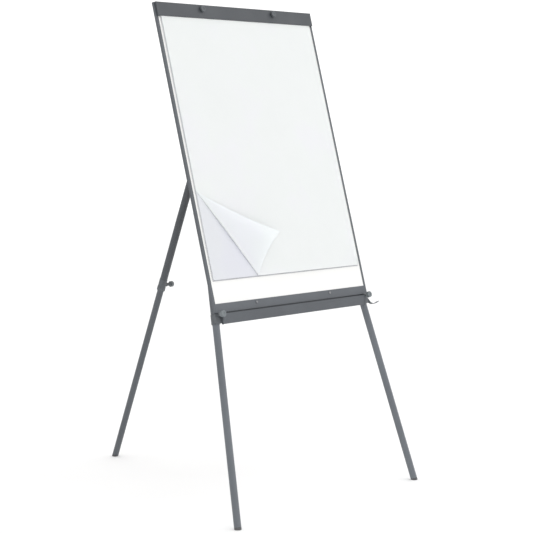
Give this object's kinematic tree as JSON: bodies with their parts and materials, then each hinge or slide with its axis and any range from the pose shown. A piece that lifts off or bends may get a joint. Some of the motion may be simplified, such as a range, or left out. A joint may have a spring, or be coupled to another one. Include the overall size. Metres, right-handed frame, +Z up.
{
  "type": "flipchart easel",
  "caption": "Tripod flipchart easel: framed dry-wipe board with pad clamp bar, pen tray, paper pad, telescopic front legs with lock knobs and a folding telescopic rear leg.",
  "frame": {"origin": "on the floor, at the centre of the bounding box", "axes": "+Z up, -Y towards the user in front of the board, +X to the right seen from the front"},
  "size_m": [0.8448, 1.0718, 1.5548],
  "materials": {
    "slate_paint": "satin slate-grey powder coat",
    "white_enamel": "gloss white dry-wipe enamel on steel",
    "hardboard": "smooth brown hardboard",
    "paper": "matt white paper",
    "grey_board": "grey pasteboard",
    "grey_plastic": "fine-textured moulded plastic",
    "black_plastic": "matt moulded plastic",
    "black_rubber": "matt rubber",
    "zinc_steel": "bright zinc plate"
  },
  "bodies": {
    "board": {"accessory_hook": "slate_paint", "board_core": "hardboard", "board_face_sheet": "white_enamel", "bottom_rail": "slate_paint", "clamp_nuts": "zinc_steel", "crossbar_lower": "slate_paint", "crossbar_screws": "zinc_steel", "crossbar_upper": "slate_paint", "guide_tube_left": "slate_paint", "guide_tube_right": "slate_paint", "hinge_bracket": "slate_paint", "hinge_pin": "zinc_steel", "hinge_screws": "zinc_steel", "hinge_spacer": "grey_plastic", "hook_rivet": "zinc_steel", "leg_socket_left": "grey_plastic", "leg_socket_right": "grey_plastic", "pad_backing_board": "grey_board", "pad_curled_corner": "paper", "pad_sheets": "paper", "pad_top_sheet": "paper", "pen_tray": "slate_paint", "side_trim_left": "slate_paint", "side_trim_right": "slate_paint", "top_rail": "slate_paint", "tray_end_cap_left": "grey_plastic", "tray_end_cap_right": "grey_plastic", "tray_screws": "zinc_steel"},
    "front_leg_left": {"front_leg_tube_left": "slate_paint", "front_leg_bush_left": "black_plastic", "front_foot_left": "black_rubber"},
    "front_leg_right": {"front_leg_tube_right": "slate_paint", "front_leg_bush_right": "black_plastic", "front_foot_right": "black_rubber"},
    "leg_lock_left": {"leg_lock_knob_left": "black_plastic", "leg_lock_screw_left": "zinc_steel"},
    "leg_lock_right": {"leg_lock_knob_right": "black_plastic", "leg_lock_screw_right": "zinc_steel"},
    "rear_outer": {"rear_leg_knuckle": "grey_plastic", "rear_leg_outer_tube": "slate_paint", "rear_leg_collar": "grey_plastic"},
    "rear_inner": {"rear_leg_inner_tube": "slate_paint", "rear_leg_bush": "black_plastic", "rear_foot": "black_rubber"},
    "rear_lock": {"rear_leg_lock_knob": "black_plastic", "rear_leg_lock_screw": "zinc_steel"},
    "clamp": {"clamp_bar": "slate_paint", "clamp_grip_strip": "black_rubber", "clamp_end_cap_left": "grey_plastic", "clamp_end_cap_right": "grey_plastic"},
    "clamp_screw_l": {"clamp_knob_left": "black_plastic", "clamp_screw_left": "zinc_steel"},
    "clamp_screw_r": {"clamp_knob_right": "black_plastic", "clamp_screw_right": "zinc_steel"}
  },
  "joints": [
    {"name": "front_leg_left_extend", "type": "slide", "parent": "board", "child": "front_leg_left", "axis": [-0.1197, -0.2519, -0.9603], "range_m": [-0.52, 0.25]},
    {"name": "front_leg_right_extend", "type": "slide", "parent": "board", "child": "front_leg_right", "axis": [0.1197, -0.2519, -0.9603], "range_m": [-0.52, 0.25]},
    {"name": "leg_lock_left_turn", "type": "hinge", "parent": "board", "child": "leg_lock_left", "pos_m": [-0.33575, -0.39966, 0.61675], "axis": [0, -0.9673, 0.2538], "range_deg": [0, 720]},
    {"name": "leg_lock_right_turn", "type": "hinge", "parent": "board", "child": "leg_lock_right", "pos_m": [0.33575, -0.39966, 0.61675], "axis": [0, -0.9673, 0.2538], "range_deg": [0, 720]},
    {"name": "rear_leg_fold", "type": "hinge", "parent": "board", "child": "rear_outer", "pos_m": [0, -0.11759, 1.48148], "axis": [1, 0, 0], "range_deg": [-38, 0]},
    {"name": "rear_leg_extend", "type": "slide", "parent": "rear_outer", "child": "rear_inner", "axis": [0, 0.3977, -0.9175], "range_m": [-0.6, 0.15]},
    {"name": "rear_lock_turn", "type": "hinge", "parent": "rear_outer", "child": "rear_lock", "pos_m": [0.042, 0.24787, 0.63827], "axis": [1, 0, 0], "range_deg": [0, 720]},
    {"name": "clamp_open", "type": "slide", "parent": "board", "child": "clamp", "axis": [0, -0.9673, 0.2538], "range_m": [0, 0.008]},
    {"name": "clamp_knob_left_turn", "type": "hinge", "parent": "clamp", "child": "clamp_screw_l", "pos_m": [-0.159, -0.15243, 1.54179], "axis": [0, -0.9673, 0.2538], "range_deg": [0, 2880]},
    {"name": "clamp_knob_right_turn", "type": "hinge", "parent": "clamp", "child": "clamp_screw_r", "pos_m": [0.159, -0.15243, 1.54179], "axis": [0, -0.9673, 0.2538], "range_deg": [0, 2880]}
  ],
  "couplings": [
    {"joint": "clamp_knob_left_turn", "follows": "clamp_open", "rad_per_m": 6283.2},
    {"joint": "clamp_knob_right_turn", "follows": "clamp_open", "rad_per_m": 6283.2}
  ]
}
